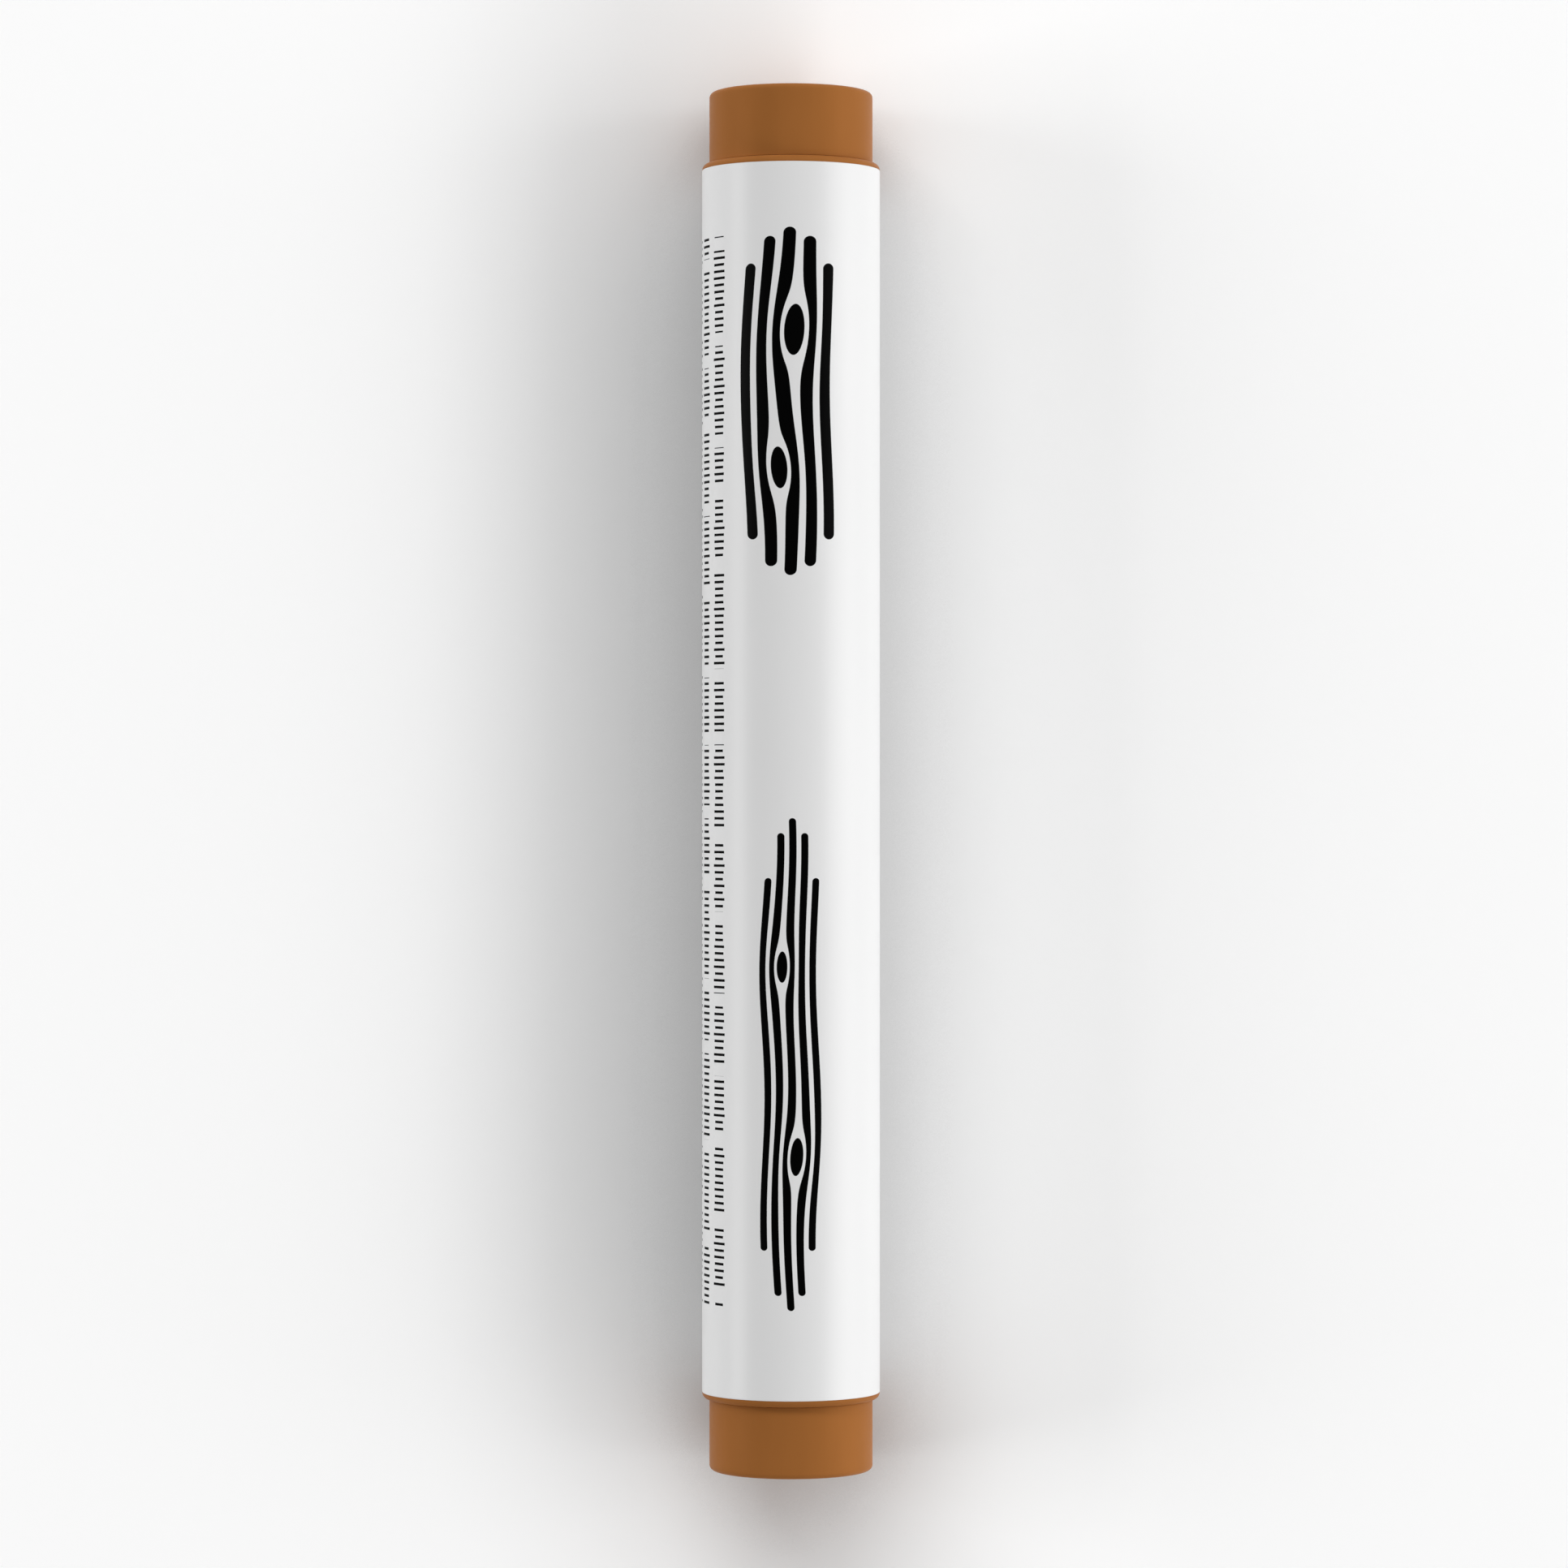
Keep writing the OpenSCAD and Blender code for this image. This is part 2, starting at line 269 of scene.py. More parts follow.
def rib_share(place, angle):
    """How much of its height a rib has: 1 on its flat top, falling to 0 down its sloped sides."""
    from_rib = (angle + rib_pitch / 2) % rib_pitch - rib_pitch / 2
    aside = np.abs(bore_radius * np.sin(from_rib)) - rib_half_width
    beyond = np.maximum(place - rib_front, rib_rear - place)
    return np.clip(1 - aside / rib_slope, 0, 1) * np.clip(1 - beyond / rib_slope, 0, 1)


bore_end = barrel_end - mouth_chamfer
place, radius = softened([
    (-barrel_end, barrel_radius, rim_rounding),
    (-label_end, barrel_radius, 0),
    (-label_end, bed_radius, 0),
    (label_end, bed_radius, 0),
    (label_end, barrel_radius, 0),
    (barrel_end, barrel_radius, rim_rounding),
    (barrel_end, bore_radius + mouth_chamfer, crisp),
    (bore_end, bore_radius, crisp),
    (rib_front + rib_slope, bore_radius, 0),
    (rib_front, bore_radius, 0),
    (rib_rear, bore_radius, 0),
    (rib_rear - rib_slope, bore_radius, 0),
    (-bore_end, bore_radius, crisp),
    (-barrel_end, bore_radius + mouth_chamfer, crisp),
], looped=True)
rib_edges = np.arcsin(np.array([rib_half_width, rib_half_width + rib_slope]) / bore_radius)
edges = (np.arange(rib_count)[:, None] * rib_pitch + np.concatenate([rib_edges, -rib_edges])) % full_turn
angle = np.union1d(round_angles(steps_round), edges)
in_bore = radius[:, None] < bore_radius + hair
ribbed = radius[:, None] - rib_height * in_bore * rib_share(place[:, None], angle)
barrel = skinned("moulded_barrel", round_axis(place[:, None], ribbed, angle), looped=True)
brown = finish("brown_plastic", brown_plastic)
barrel.data.materials.append(brown)
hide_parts("barrel")
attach(barrel, "barrel")


# Label. A strip of white satin film, wound once round the barrel and glued down, with its end
# lapped over its start on the underside. The print is one pass of dense black ink.
lap_start = math.radians(-132)
lap_angle = 3 * MM / barrel_radius
lift_angle = 1.2 * MM / barrel_radius
lap_lift = 0.12 * MM
film_steps = 300
film_edge = 0.03 * MM
film_edge_steps = 7
film_hold = 0.1 * MM
hazy_white = (0.825, 0.825, 0.825, 1)
clear_white = (0.838, 0.838, 0.838, 1)
ink_black = (0.0012, 0.0012, 0.0012, 1)
ink_edge = 0.012 * MM
bold_grain = {
    "centre": -0.37 * MM, "middle": 38.05 * MM, "half_length": 16.85 * MM, "lines_aside": 2,
    "pitch": 1.85 * MM, "stroke": 1.16 * MM, "shortening": 0.9 * MM,
    "sway": 0.35 * MM, "sway_length": 5.2 * MM,
    "knots": [(45.2 * MM, 0.5, 1.25 * MM), (31.4 * MM, -0.5, 1.02 * MM)],
    "knot_stretch": 2.5, "knot_fill": 0.82,
}
light_grain = {
    "centre": -0.08 * MM, "middle": -28.35 * MM, "half_length": 24.3 * MM, "lines_aside": 2,
    "pitch": 1.17 * MM, "stroke": 0.72 * MM, "shortening": 1.5 * MM,
    "sway": 0.25 * MM, "sway_length": 4.1 * MM,
    "knots": [(-18.6 * MM, -0.5, 0.66 * MM), (-37.6 * MM, 0.5, 0.8 * MM)],
    "knot_stretch": 2.9, "knot_fill": 0.82,
}
first_row = -8.45 * MM
row_pitch = 2.8 * MM
row_count = 5
rows_middle = 1 * MM
rows_half_length = 54 * MM
tick_pitch = 0.68 * MM
tick_width = 0.26 * MM
tick_height = 1.3 * MM
tick_unevenness = 0.32 * MM
cell_length = 8.06 * MM
gap_length = 1.3 * MM
gap_first_share = 0.25
gap_range_share = 0.5
row_seed = 31.7


def film_section(lift):
    """Round the edge of the film: out along its outside, over its end, back along its inside.

    Each end is a half ellipse that is as deep as film_edge and as high as the film is thick. A
    point on each side of it, film_hold further in, keeps the long faces straight when shaded.
    """
    bend = np.linspace(math.pi / 2, -math.pi / 2, film_edge_steps)
    bend = np.concatenate([bend[:1], bend, bend[-1:]])
    hold = film_hold * (np.arange(len(bend)) % (len(bend) - 1) == 0)
    end_place = label_end - film_edge + film_edge * np.cos(bend) - hold
    end_radius = barrel_radius - film_thickness / 2 * (1 - np.sin(bend))
    place = np.concatenate([end_place, -end_place[::-1]])
    radius = np.concatenate([end_radius, end_radius[::-1]])
    return place, radius + lift


wound = np.linspace(0, full_turn + lap_angle, film_steps)
climb = np.clip((wound - full_turn + lift_angle) / lift_angle, 0, 1)
film_lift = lap_lift * (climb * climb * (3 - 2 * climb))
film_place, film_radius = film_section(film_lift[:, None])
film_points = round_axis(film_place, film_radius, lap_start + wound[:, None])
label = skinned("wound_label", film_points, looped=False)


def grain_ink(arc, along, band):
    """Printed wood grain: strokes along the stick, which part round filled knots and end round.

    A knot is given by its place, the pitches from the band's centre and its radius R. With u and
    v the distances from it along and across the stick, it bends the strokes as a disc bends the
    flow past it, by v R^2 / (u^2 + v^2). The strokes lie where the bent distance across is a whole
    number of pitches, and outer ones are shorter.
    """
    sway = (along / band["sway_length"]).math("SINE", along / band["sway_length"]) * band["sway"]
    across = arc - band["centre"] + sway
    flow, open_share, filled = across, 1.0, 0.0
    for knot_place, pitches_aside, knot_radius in band["knots"]:
        aside = across - pitches_aside * band["pitch"]
        lengthwise = (along - knot_place) / band["knot_stretch"]
        squared = aside * aside + lengthwise * lengthwise
        flow = flow - aside * knot_radius ** 2 / squared
        open_share = squared.math("GREATER_THAN", squared, knot_radius ** 2) * open_share
        core = knot_radius * band["knot_fill"]
        filled = squared.math("SQRT", squared).spread(core + ink_edge, core - ink_edge) + filled
    line = flow.math("ROUND", flow / band["pitch"])
    off_line = flow - line * band["pitch"]
    stretch = band["half_length"] - line * line * band["shortening"]
    beyond = stretch.math("MAXIMUM", abs(along - band["middle"]) - stretch, 0.0)
    reach = beyond.math("SQRT", off_line * off_line + beyond * beyond)
    strokes = reach.spread(band["stroke"] / 2 + ink_edge, band["stroke"] / 2 - ink_edge)
    kept = strokes * line.math("LESS_THAN", abs(line), band["lines_aside"] + 0.5)
    return kept * open_share + filled


def tick_ink(arc, along):
    """Rows of fine short strokes of uneven height across the film, with a gap now and then.

    A row is the nearest whole number of row pitches. In each cell of a length the gap's place,
    and at each tick its height, come from a random number that the cell's number picks.
    """
    row = arc.math("ROUND", (first_row - arc) / row_pitch)
    in_rows = row.math("LESS_THAN", abs(row - (row_count - 1) / 2), row_count / 2)
    aside = abs(first_row - arc - row * row_pitch)
    tick = along.math("FLOOR", along / tick_pitch)
    cell = along.math("FLOOR", along / cell_length)

    def chance(number):
        pick = {"W": number + row * row_seed}
        return number.node("ShaderNodeTexWhiteNoise", {"noise_dimensions": "1D"}, pick)

    off_tick = abs(along / tick_pitch - tick - 0.5) * tick_pitch
    gap_place = chance(cell) * gap_range_share + gap_first_share
    off_gap = abs(along / cell_length - cell - gap_place) * cell_length
    width = off_tick.spread(tick_width / 2 + ink_edge, tick_width / 2 - ink_edge)
    above_tick = aside - chance(tick) * tick_unevenness
    height = above_tick.spread(tick_height / 2 + ink_edge, tick_height / 2 - ink_edge)
    between = off_gap.spread(gap_length / 2 - ink_edge, gap_length / 2 + ink_edge)
    ends = abs(along).math("LESS_THAN", abs(along - rows_middle), rows_half_length)
    return width * height * between * ends * in_rows


def label_film(place):
    """White satin film: a faint haze in its white, and a skin that is all but even."""
    haze = place.clouds(6 * MM, 20 * MM, 4.0)
    return {
        "Base Color": haze.spread(0.2, 0.8).blended(hazy_white, clear_white),
        "Roughness": haze.spread(0.2, 0.8, 0.3, 0.31),
        "IOR": 1.5,
        "Specular IOR Level": 0.2,
    }


def printed(material):
    """Lays the ink over a material: a black, nearly dull finish wherever the print has ink.

    The print is placed by the arc round the barrel from the top and the length along it.
    """
    tree = material.node_tree
    film, output = (next(node for node in tree.nodes if node.type == kind)
                    for kind in ("BSDF_PRINCIPLED", "OUTPUT_MATERIAL"))
    place = Wire(tree).node("ShaderNodeTexCoord", {}, {}, "Object")
    across, along = place.part("X"), place.part("Y")
    arc = across.math("ARCTAN2", across, place.part("Z") - axis_height) * barrel_radius
    share = grain_ink(arc, along, bold_grain) + grain_ink(arc, along, light_grain) + tick_ink(arc, along)
    black = {"Base Color": ink_black, "Roughness": 0.4, "Specular IOR Level": 0.02}
    ink = place.node("ShaderNodeBsdfPrincipled", {}, black)
    mixed = place.node("ShaderNodeMixShader", {}, {0: share, 1: Wire(tree, film.outputs[0]), 2: ink})
    tree.links.new(mixed.socket, output.inputs[0])
    return material


label.data.materials.append(printed(finish("label_film", label_film)))
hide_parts("wrap_label")
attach(label, "barrel")


# Knob. The brown head at the rear, which turns the screw. It is moulded as a cup: a spigot
# centres it in the barrel, and six webs hold a hub with a hexagonal socket for the screw.
knob_low, knob_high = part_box("twist_knob")
head_radius = (knob_high.x - knob_low.x) / 2
head_rounding = 0.54 * MM
head_end_wall = 1 * MM
seam = 0.03 * MM
gate_radius = 0.9 * MM
gate_depth = 0.08 * MM
knob_shoulder = -barrel_end - seam
turn_gap = 0.2 * MM
spigot_wall = 1.2 * MM
spigot_radius = bore_radius - turn_gap
spigot_bore = spigot_radius - spigot_wall
hub_radius = 3.68 * MM
socket_radius = 2.098 * MM
socket_depth = 6.7 * MM
socket_floor = knob_high.y - socket_depth
cup_floor = knob_low.y + head_end_wall
pole_radius = 0.2 * MM
moulded_edge = 0.15 * MM
spigot_edge = 0.25 * MM
shoulder_fillet = 0.1 * MM
cup_fillet = 0.3 * MM
web_count = 6
web_half = 0.45 * MM
web_share = 0.2
web_edge_share = 0.008
web_side_share = 0.04
web_top_steps = 3
web_steps = 20
web_fall = 0.01

place, radius = softened([
    (knob_low.y + gate_depth, pole_radius, 0),
    (knob_low.y + gate_depth, gate_radius, crisp),
    (knob_low.y, gate_radius + gate_depth, crisp),
    (knob_low.y, head_radius, head_rounding),
    (knob_shoulder, head_radius, seam),
    (knob_shoulder, spigot_radius, shoulder_fillet),
    (knob_high.y, spigot_radius, spigot_edge),
    (knob_high.y, spigot_bore, moulded_edge),
    (cup_floor, spigot_bore, cup_fillet),
    (cup_floor, hub_radius, cup_fillet),
    (knob_high.y, hub_radius, moulded_edge),
    (knob_high.y, socket_radius, 0),
    (socket_floor, socket_radius, 0),
    (socket_floor, pole_radius, 0),
], looped=False)


def hexagonal(angle):
    """The share of its corner radius that a hexagon has at an angle, with flats at 0, 60, 120..."""
    from_flat = (angle + math.pi / 6) % (math.pi / 3) - math.pi / 6
    return math.cos(math.pi / 6) / np.cos(from_flat)


def webbed(place, radius):
    """Places, radii and angles round the knob, with its webs raised from the cup's floor.

    Six sectors are centred on the webs. In each a share from -1 to 1 runs from flat to flat of
    the socket, and its middle web_share, either way, is as wide as the web at that radius.
    """
    inner = np.linspace(0, web_share, web_top_steps)
    outer = np.linspace(web_share + web_side_share, 1, web_steps)
    outer = np.concatenate([[web_share + web_edge_share], outer])
    share = np.concatenate([-outer[::-1], -inner[:0:-1], inner, outer[:-1]])
    web_angle = np.arcsin(web_half / np.clip(radius, hub_radius, spigot_bore))[:, None]
    past = np.maximum(np.abs(share) - web_share, 0) / (1 - web_share)
    swing = np.sign(share) * (np.minimum(np.abs(share) / web_share, 1) * web_angle
                              + past * (math.pi / web_count - web_angle))
    sectors = math.pi / 2 + np.arange(web_count) * full_turn / web_count
    angle = (sectors[None, :, None] + swing[:, None, :]).reshape(len(radius), -1)
    on_web = np.tile(np.abs(share) <= web_share, web_count)
    between_walls = (radius > hub_radius - hair) & (radius < spigot_bore + hair)
    in_cup = between_walls & (place < knob_shoulder) & (place > knob_low.y)
    web_top = knob_shoulder + (place - knob_shoulder) * web_fall
    raised = np.where(in_cup[:, None] & on_web, web_top[:, None], place[:, None])
    in_socket = (place >= socket_floor) & (radius < socket_radius + hair)
    return raised, radius[:, None] * np.where(in_socket[:, None], hexagonal(angle), 1), angle


knob = skinned("head_of_knob", round_axis(*webbed(place, radius)), looped=False)
knob.data.materials.append(brown)
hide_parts("twist_knob")
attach(knob, "knob")


# Wax. A round bar of brown touch-up wax, cast in a polished tube that leaves faint draw lines
# along it, with a domed tip and a blind bore for the carrier's boss and the screw.
wax_low, wax_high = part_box("wax_core")
wax_radius = (wax_high.x - wax_low.x) / 2
dome_rise = 2.4 * MM
dome_radius = (wax_radius ** 2 + dome_rise ** 2) / (2 * dome_rise)
dome_reach = math.asin(wax_radius / dome_radius)
dome_pole_share = 0.02
dome_steps = 24
dome_turn = np.linspace(dome_pole_share, 1, dome_steps) * dome_reach
boss_pocket = 3.77 * MM
boss_depth = 4.2 * MM
wax_bore = 2.8 * MM
solid_tip = 6 * MM
wax_bore_end = wax_high.y - solid_tip
core_fillet = 0.2 * MM
wax_steps = 192
deep_wax = (0.225, 0.07, 0.013, 1)
pale_wax = (0.285, 0.098, 0.02, 1)

dome_place = wax_high.y - dome_radius * (1 - np.cos(dome_turn))
dome = np.stack([dome_place, dome_radius * np.sin(dome_turn)])
body = softened([
    (wax_high.y - dome_rise, wax_radius, 0),
    (wax_low.y, wax_radius, moulded_edge),
    (wax_low.y, boss_pocket, moulded_edge),
    (wax_low.y + boss_depth, boss_pocket, shoulder_fillet),
    (wax_low.y + boss_depth, wax_bore, shoulder_fillet),
    (wax_bore_end, wax_bore, core_fillet),
    (wax_bore_end, pole_radius, 0),
], looped=False)
place, radius = np.concatenate([dome, body[:, 1:]], axis=1)
wax_points = round_axis(place[:, None], radius[:, None], round_angles(wax_steps))
wax = skinned("cast_wax", wax_points, looped=False)


def brown_wax(place):
    """Soft pigmented wax: cloudy colour, dull bloom in patches, and draw lines along the bar."""
    cloud = place.clouds(2.5 * MM, 5 * MM, 5.0)
    bloom = place.clouds(1.2 * MM, 3 * MM, 4.0)
    drawn = place.clouds(0.18 * MM, 12 * MM, 2.0)
    return {
        "Base Color": cloud.spread(0.3, 0.7).blended(deep_wax, pale_wax),
        "Roughness": bloom.spread(0.35, 0.65, 0.34, 0.56),
        "IOR": 1.44,
        "Normal": drawn.raised(0.006 * MM, cloud.raised(0.02 * MM)),
    }


wax.data.materials.append(finish("brown_wax", brown_wax))
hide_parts("wax_core")
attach(wax, "carrier")


# Cap. The brown head at the front, a thin shell like the knob's head, pressed over its liner.
shell_low, shell_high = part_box("cap_shell")
liner_low, liner_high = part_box("cap_liner")
liner_radius = (liner_high.x - liner_low.x) / 2
press_gap = 0.02 * MM
shell_bore = liner_radius + press_gap
shell_floor = shell_high.y - head_end_wall
shell_fillet = 0.08 * MM

cap = turned("head_of_cap", [
    (shell_high.y - gate_depth, pole_radius, 0),
    (shell_high.y - gate_depth, gate_radius, crisp),
    (shell_high.y, gate_radius + gate_depth, crisp),
    (shell_high.y, head_radius, head_rounding),
    (barrel_end + seam, head_radius, seam),
    (barrel_end + seam, shell_bore, shoulder_fillet),
    (shell_floor, shell_bore, shell_fillet),
    (shell_floor, pole_radius, 0),
], looped=False)
cap.data.materials.append(brown)
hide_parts("cap_shell")
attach(cap, "cap")


# Liner. A closed sleeve of natural plastic inside the cap. Its skirt plugs into the barrel's
# mouth, and two low beads round the skirt grip there and keep the wax from drying out.
liner_wall = 0.85 * MM
liner_end_wall = 0.7 * MM
liner_bore = liner_radius - liner_wall
liner_inner_end = liner_high.y - liner_end_wall
lead_chamfer = 0.4 * MM
bead_height = 0.035 * MM
bead_half = 0.35 * MM
bead_top_share = 0.4
bead_rounding = 0.1 * MM
bead_pitch = 2.6 * MM
beads = [liner_low.y + bead_pitch, liner_low.y + 2 * bead_pitch]
bead_outline = ((1, 0), (bead_top_share, 1), (-bead_top_share, 1), (-1, 0))
shoulder_inset = 0.5 * MM
shoulder_fall = 0.1 * MM
shoulder_rounding = 0.05 * MM
lip_rounding = 0.12 * MM
cloudy_natural = (0.70, 0.68, 0.60, 1)
clear_natural = (0.76, 0.74, 0.67, 1)

sleeve_radius = liner_radius - bead_height
bead_corners = [
    (bead + step * bead_half, sleeve_radius + raised * bead_height, raised * bead_rounding)
    for bead in reversed(beads) for step, raised in bead_outline
]
liner = turned("sealing_liner", [
    (liner_high.y, pole_radius, 0),
    (liner_high.y, liner_radius, moulded_edge),
    (shell_low.y + shoulder_inset, liner_radius, shoulder_rounding),
    (shell_low.y + shoulder_inset - shoulder_fall, sleeve_radius, shoulder_rounding),
    *bead_corners,
    (liner_low.y + lead_chamfer, sleeve_radius, crisp),
    (liner_low.y, sleeve_radius - lead_chamfer, crisp),
    (liner_low.y, liner_bore, lip_rounding),
    (liner_inner_end, liner_bore, cup_fillet),
    (liner_inner_end, pole_radius, 0),
], looped=False)


def natural_plastic(place):
    """Unpigmented plastic, waxy and slightly cloudy, with faint flow marks along the moulding."""
    cloud = place.clouds(4 * MM, 9 * MM, 4.0)
    flow = place.clouds(0.5 * MM, 5 * MM, 2.0)
    return {
        "Base Color": cloud.spread(0.3, 0.7).blended(cloudy_natural, clear_natural),
        "Roughness": cloud.spread(0.3, 0.7, 0.32, 0.42),
        "IOR": 1.5,
        "Subsurface Weight": 0.25,
        "Subsurface Scale": 0.6 * MM,
        "Normal": flow.raised(0.002 * MM),
    }


natural = finish("natural_plastic", natural_plastic)
liner.data.materials.append(natural)
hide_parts("cap_liner")
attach(liner, "cap")


# Lead screw. Moulded in hard white plastic: a hexagonal drive end, a journal, a collar that
# bears on the bush, and a coarse left-hand thread with two starts, which runs out in a point.
screw_low, screw_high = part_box("lead_screw")
drive_corner = 2.078 * MM
journal_radius = 2.5 * MM
collar_radius = 4 * MM
collar_rear = -54.06 * MM
thread_rear = -52.66 * MM
point_length = 1.6 * MM
point_radius = 0.64 * MM
point_base = 1.36 * MM
thread_front = screw_high.y - point_length
crest_radius = 2.4 * MM
root_radius = 1.6 * MM
crest_half = math.radians(25.2)
flank_half = math.radians(39.6)
lead = 8 * MM
start_angle = math.radians(58.5)
rows_a_turn = 24
screw_steps = 60
screw_pole = 0.1 * MM
drive_fillet = 0.08 * MM
deep_screw_white = (0.62, 0.62, 0.58, 1)
pale_screw_white = (0.69, 0.69, 0.65, 1)

head = softened([
    (screw_low.y, pole_radius, 0),
    (screw_low.y, drive_corner, core_fillet),
    (knob_high.y, drive_corner, 0),
    (knob_high.y, journal_radius, drive_fillet),
    (collar_rear, journal_radius, shoulder_fillet),
    (collar_rear, collar_radius, shoulder_fillet),
    (thread_rear, collar_radius, shoulder_fillet),
    (thread_rear, root_radius, 0),
], looped=False)
point = softened([
    (thread_front, root_radius, 0),
    (thread_front, point_base, 0),
    (screw_high.y, point_radius, moulded_edge),
    (screw_high.y, screw_pole, 0),
], looped=False)


def threaded(head, point):
    """Places, radii and angles of the screw, whose columns turn with the thread.

    A column is held in the head, turns back one full turn for each lead along the thread, and
    is held again in the point. A ridge is as high as its share, which falls from 1 at crest_half
    from its middle to 0 at flank_half, and runs in over the first and out over the last row.
    """
    rows = int((thread_front - thread_rear) / lead * rows_a_turn)
    along = np.linspace(thread_rear, thread_front, rows + 1)
    place = np.concatenate([head[0], along, point[0]])
    radius = np.concatenate([head[1], np.full(rows + 1, root_radius), point[1]])
    ridge_edges = np.array([-flank_half, -crest_half, 0, crest_half, flank_half])
    starts = start_angle + np.array([0, math.pi])
    edges = (starts[:, None] + ridge_edges).ravel() % full_turn
    corners = math.pi / 6 + np.arange(6) * math.pi / 3
    column = np.union1d(round_angles(screw_steps), np.concatenate([edges, corners]))
    turns = (np.clip(place, thread_rear, thread_front) - thread_rear) / lead
    angle = column - full_turn * turns[:, None]
    from_ridge = (column - start_angle + math.pi / 2) % math.pi - math.pi / 2
    share = np.clip((flank_half - np.abs(from_ridge)) / (flank_half - crest_half), 0, 1)
    on_thread = (np.arange(len(place)) > head.shape[1]) & (np.arange(len(place)) < head.shape[1] + rows)
    on_drive = (place <= knob_high.y) & (radius <= drive_corner + hair)
    radius = radius[:, None] * np.where(on_drive[:, None], hexagonal(angle), 1)
    return place[:, None], radius + (crest_radius - root_radius) * share * on_thread[:, None], angle


def screw_plastic(place):
    """Hard white plastic with a dense, even skin."""
    skin = place.clouds(0.6 * MM, 0.6 * MM)
    return {
        "Base Color": skin.spread(0.3, 0.7).blended(deep_screw_white, pale_screw_white),
        "Roughness": skin.spread(0.3, 0.7, 0.24, 0.32),
        "IOR": 1.48,
        "Normal": skin.raised(0.002 * MM),
    }


screw = skinned("two_start_screw", round_axis(*threaded(head, point)), looped=False)
screw.data.materials.append(finish("screw_plastic", screw_plastic))
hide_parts("lead_screw")
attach(screw, "knob")


# Drag ring. A black rubber ring on the screw's journal, in a pocket of the bush, which keeps
# the knob from turning by itself.
ring_low, ring_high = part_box("drag_ring")
ring_thickness = (ring_high.y - ring_low.y) / 2
ring_radius = (ring_high.x - ring_low.x) / 2 - ring_thickness
section_steps = 32
ring_steps = 128
deep_rubber = (0.012, 0.012, 0.012, 1)
pale_rubber = (0.028, 0.028, 0.028, 1)
section = round_angles(section_steps)[:, None]


def ring_rubber(place):
    """Black rubber with a fine dull skin."""
    skin = place.clouds(0.15 * MM, 0.15 * MM, 4.0)
    return {
        "Base Color": skin.spread(0.3, 0.7).blended(deep_rubber, pale_rubber),
        "Roughness": skin.spread(0.3, 0.7, 0.62, 0.8),
        "Normal": skin.raised(0.004 * MM),
    }


ring_place = (ring_low.y + ring_high.y) / 2 + ring_thickness * np.cos(section)
ring_reach = ring_radius + ring_thickness * np.sin(section)
ring_points = round_axis(ring_place, ring_reach, round_angles(ring_steps))
ring = skinned("rubber_ring", ring_points, looped=True)
ring.data.materials.append(finish("ring_rubber", ring_rubber))
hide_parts("drag_ring")
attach(ring, "knob")


# Bush. A cored plug of natural plastic, pressed into the barrel's rear until its end lies under
# the knob's spigot. The journal turns in its middle, and a counterbore holds the drag ring.
bush_low, bush_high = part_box("bearing_plug")
bush_radius = (bush_high.x - bush_low.x) / 2
bush_wall = 1.1 * MM
pocket_radius = 4.12 * MM
pocket_floor = -58.84 * MM
core_floor = -57.74 * MM
journal_bore = 2.6 * MM

bush = turned("cored_bush", [
    (bush_low.y, pocket_radius, shoulder_fillet),
    (bush_low.y, bush_radius, moulded_edge),
    (bush_high.y - lead_chamfer, bush_radius, crisp),
    (bush_high.y, bush_radius - lead_chamfer, crisp),
    (bush_high.y, bush_radius - bush_wall, shoulder_fillet),
    (core_floor, bush_radius - bush_wall, core_fillet),
    (core_floor, pocket_radius, core_fillet),
    (bush_high.y, pocket_radius, moulded_edge),
    (bush_high.y, journal_bore, moulded_edge),
    (pocket_floor, journal_bore, shoulder_fillet),
    (pocket_floor, pocket_radius, shoulder_fillet),
], looped=True)
bush.data.materials.append(natural)
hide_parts("bearing_plug")
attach(bush, "barrel")


# Carrier. A cup of natural plastic that grips the foot of the wax. Four notches slide along the
# barrel's ribs, and two helical lugs in its boss ride in the screw's thread.
carrier_low, carrier_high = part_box("carrier")
slide_gap = 0.15 * MM
carrier_radius = bore_radius - slide_gap
notch_radius = bore_radius - rib_height - slide_gap
notch_half_width = rib_half_width + slide_gap
cup_radius = wax_radius + press_gap
floor_thickness = 1.8 * MM
boss_length = 6 * MM
carrier_floor = carrier_low.y + floor_thickness
boss_radius = boss_pocket - press_gap
boss_end = carrier_low.y + boss_length
nut_bore = 2.55 * MM
lug_radius = 1.75 * MM
lug_inset = 1 * MM
lug_length = 4 * MM
lug_rear = carrier_low.y + lug_inset
lug_front = lug_rear + lug_length
lug_inner_half = math.radians(41.4)
lug_outer_half = math.radians(55.8)
lug_seat = 0.1 * MM
lug_columns = 9
lug_rows = 17
carrier_steps = 192

place, radius = softened([
    (carrier_low.y, carrier_radius, moulded_edge),
    (carrier_high.y, carrier_radius, lip_rounding),
    (carrier_high.y, cup_radius, lip_rounding),
    (carrier_floor, cup_radius, core_fillet),
    (carrier_floor, boss_radius, core_fillet),
    (boss_end, boss_radius, moulded_edge),
    (boss_end, nut_bore, shoulder_fillet),
    (carrier_low.y, nut_bore, shoulder_fillet),
], looped=True)
notch_edges = np.arcsin(np.array([notch_half_width, notch_half_width + rib_slope]) / carrier_radius)
edges = np.arange(rib_count)[:, None] * rib_pitch + np.concatenate([notch_edges, -notch_edges])
angle = np.union1d(round_angles(carrier_steps), edges % full_turn)
from_notch = (angle + rib_pitch / 2) % rib_pitch - rib_pitch / 2
beside = (np.abs(carrier_radius * np.sin(from_notch)) - notch_half_width) / rib_slope
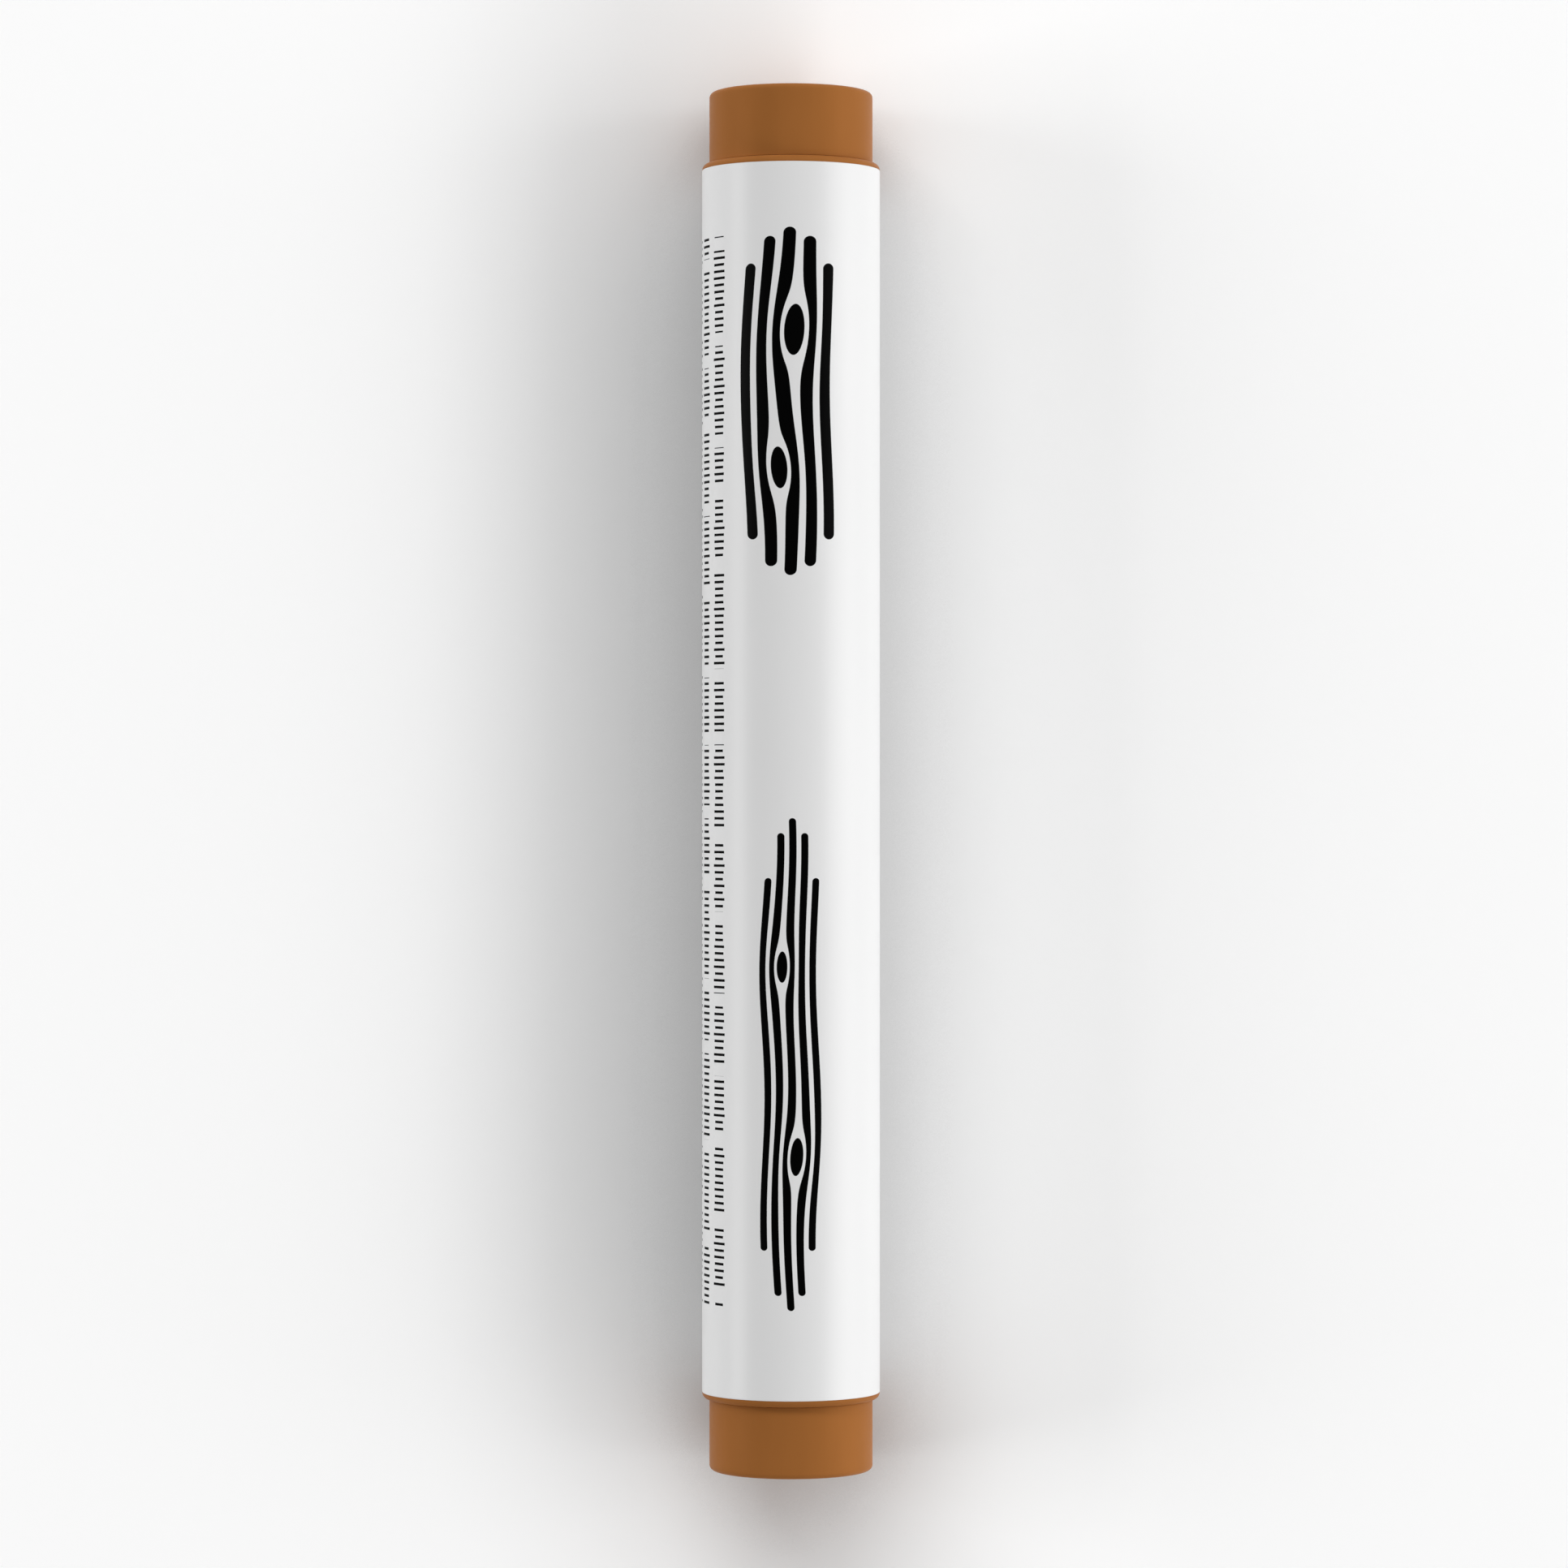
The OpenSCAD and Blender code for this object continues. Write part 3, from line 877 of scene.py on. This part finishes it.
most = notch_radius + (carrier_radius - notch_radius) * np.clip(beside, 0, 1)
outside = radius[:, None] > notch_radius
notched = np.where(outside, np.minimum(radius[:, None], most), radius[:, None])
carrier = skinned("keyed_carrier", round_axis(place[:, None], notched, angle), looped=True)
carrier.data.materials.append(natural)
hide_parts("carrier")
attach(carrier, "carrier")


def helical_lug(start):
    """A lug: a tapered section round the axis, swept along the groove beside a ridge.

    The section runs at lug_radius over the inner half angle, out to just inside the boss's wall
    over the outer one, and turns back one full turn for each lead.
    """
    seat = nut_bore + lug_seat
    share = np.linspace(-1, 1, lug_columns)
    radius = np.repeat([lug_radius, seat], lug_columns)
    swing = np.concatenate([share * lug_inner_half, -share * lug_outer_half])
    place = np.linspace(lug_rear, lug_front, lug_rows)[:, None]
    groove = start_angle + math.pi / 2 + start * math.pi
    return round_axis(place, radius, groove + swing - full_turn * (place - thread_rear) / lead)


for start in range(2):
    lug = skinned(f"carrier_lug_{start + 1}", helical_lug(start), looped=False)
    lug.data.materials.append(natural)
    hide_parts("carrier")
    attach(lug, "carrier")


# Table, lamps and camera. The stick lies on a white table inside a ring of low, broad
# soft boxes, brightest on its right, with nothing straight above it. As the camera sees it, the
# table carries a painted shadow round the stick, deeper on the stick's -Y side. The camera
# looks straight down from about half a metre, through a long lens.
table_size = 6
table_gain = 1.215
shade_reach = 30 * MM
shade_lean = 0.45
shade_full = 0.52
shade_colour = (0.705, 0.705, 0.705, 1)
shade_samples = 8
bounce_colour = (0.8, 0.8, 0.8, 1)
lit_colour = (table_gain, table_gain, table_gain, 1)
wall_top = 0.78
wall_fade = 0.15
lamp_distance = 5
camera_x = -0.71 * MM
camera_y = -0.28 * MM
camera_distance = 537.8 * MM
camera_height = axis_height + camera_distance
sensor_width = 36
focal_length = 121.36

table_mesh = bpy.data.meshes.new("table")
reach = table_size / 2
table_corners = [(-reach, -reach, 0), (reach, -reach, 0), (reach, reach, 0), (-reach, reach, 0)]
table_mesh.from_pydata(table_corners, [], [(0, 1, 2, 3)])
table = bpy.data.objects.new("table", table_mesh)
bpy.context.scene.collection.objects.link(table)


def seen_directly(tree):
    """1 on rays from the camera, in a gloss or through glass, and 0 on those that carry light."""
    kinds = ("Is Camera Ray", "Is Glossy Ray", "Is Transmission Ray")
    camera, glossy, clear = (Wire(tree).node("ShaderNodeLightPath", {}, {}, kind) for kind in kinds)
    return camera.math("MAXIMUM", camera.math("MAXIMUM", camera, glossy), clear)


table_material = bpy.data.materials.new("white_table")
table_material.use_nodes = True
table_tree = table_material.node_tree
table_tree.nodes.clear()
# Painted shadow: where an occlusion test, leaning towards +Y, finds the stick within shade_reach, the
# table's camera-seen colour is darkened from lit_colour towards shade_colour.
upright = Wire(table_tree).node("ShaderNodeCombineXYZ", {}, {"Y": shade_lean, "Z": 1.0})
leaning = upright.node("ShaderNodeVectorMath", {"operation": "NORMALIZE"}, {0: upright})
near = {"Distance": shade_reach, "Normal": leaning}
open_share = leaning.node("ShaderNodeAmbientOcclusion", {"samples": shade_samples}, near, "AO")
lit_or_painted_shadow = open_share.spread(shade_full, 1.0).blended(shade_colour, lit_colour)
shade = seen_directly(table_tree).blended(bounce_colour, lit_or_painted_shadow)
matt = shade.node("ShaderNodeBsdfDiffuse", {}, {"Color": shade})
matt.node("ShaderNodeOutputMaterial", {}, {"Surface": matt})
table_mesh.materials.append(table_material)

world = bpy.data.worlds.new("studio")
bpy.context.scene.world = world
world.use_nodes = True
world.node_tree.nodes.clear()
direction = Wire(world.node_tree).node("ShaderNodeTexCoord", {}, {}, "Generated")
walls = direction.part("Z").spread(wall_top, wall_top - wall_fade)
backdrop = (walls * seen_directly(world.node_tree)).blended((0, 0, 0, 1), (1, 1, 1, 1))
room = backdrop.node("ShaderNodeBackground", {}, {"Color": backdrop})
room.node("ShaderNodeOutputWorld", {}, {"Surface": room})


def soft_box(azimuth, width, low, high, radiance):
    """An upright lamp towards an azimuth, that covers a width and heights given in degrees."""
    across = 2 * lamp_distance * math.tan(math.radians(width / 2))
    foot, top = (lamp_distance * math.tan(math.radians(height)) for height in (low, high))
    lamp = bpy.data.lights.new("soft_box", "AREA")
    lamp.shape = "RECTANGLE"
    lamp.size, lamp.size_y = across, top - foot
    lamp.energy = radiance * math.pi * lamp.size * lamp.size_y
    box = bpy.data.objects.new("soft_box", lamp)
    turn = math.radians(azimuth)
    box.location = lamp_distance * math.cos(turn), lamp_distance * math.sin(turn), (foot + top) / 2
    box.rotation_euler = math.pi / 2, 0, turn + math.pi / 2
    box.visible_camera = False
    bpy.context.scene.collection.objects.link(box)


soft_box(azimuth=0, width=30, low=0, high=41, radiance=3.4)
soft_box(azimuth=45, width=60, low=0, high=43, radiance=1.63)
soft_box(azimuth=105, width=60, low=28, high=42, radiance=6.1)
soft_box(azimuth=150, width=30, low=0, high=20, radiance=2.45)
soft_box(azimuth=180, width=30, low=8, high=30, radiance=6.3)
soft_box(azimuth=270, width=30, low=10, high=20, radiance=3.6)
soft_box(azimuth=315, width=60, low=20, high=32, radiance=6.3)

camera = bpy.data.cameras.new("camera")
camera.sensor_width = sensor_width
camera.lens = focal_length
viewpoint = bpy.data.objects.new("camera", camera)
viewpoint.location = camera_x, camera_y, camera_height
bpy.context.scene.collection.objects.link(viewpoint)
bpy.context.scene.camera = viewpoint
bpy.context.scene.view_settings.view_transform = "Standard"
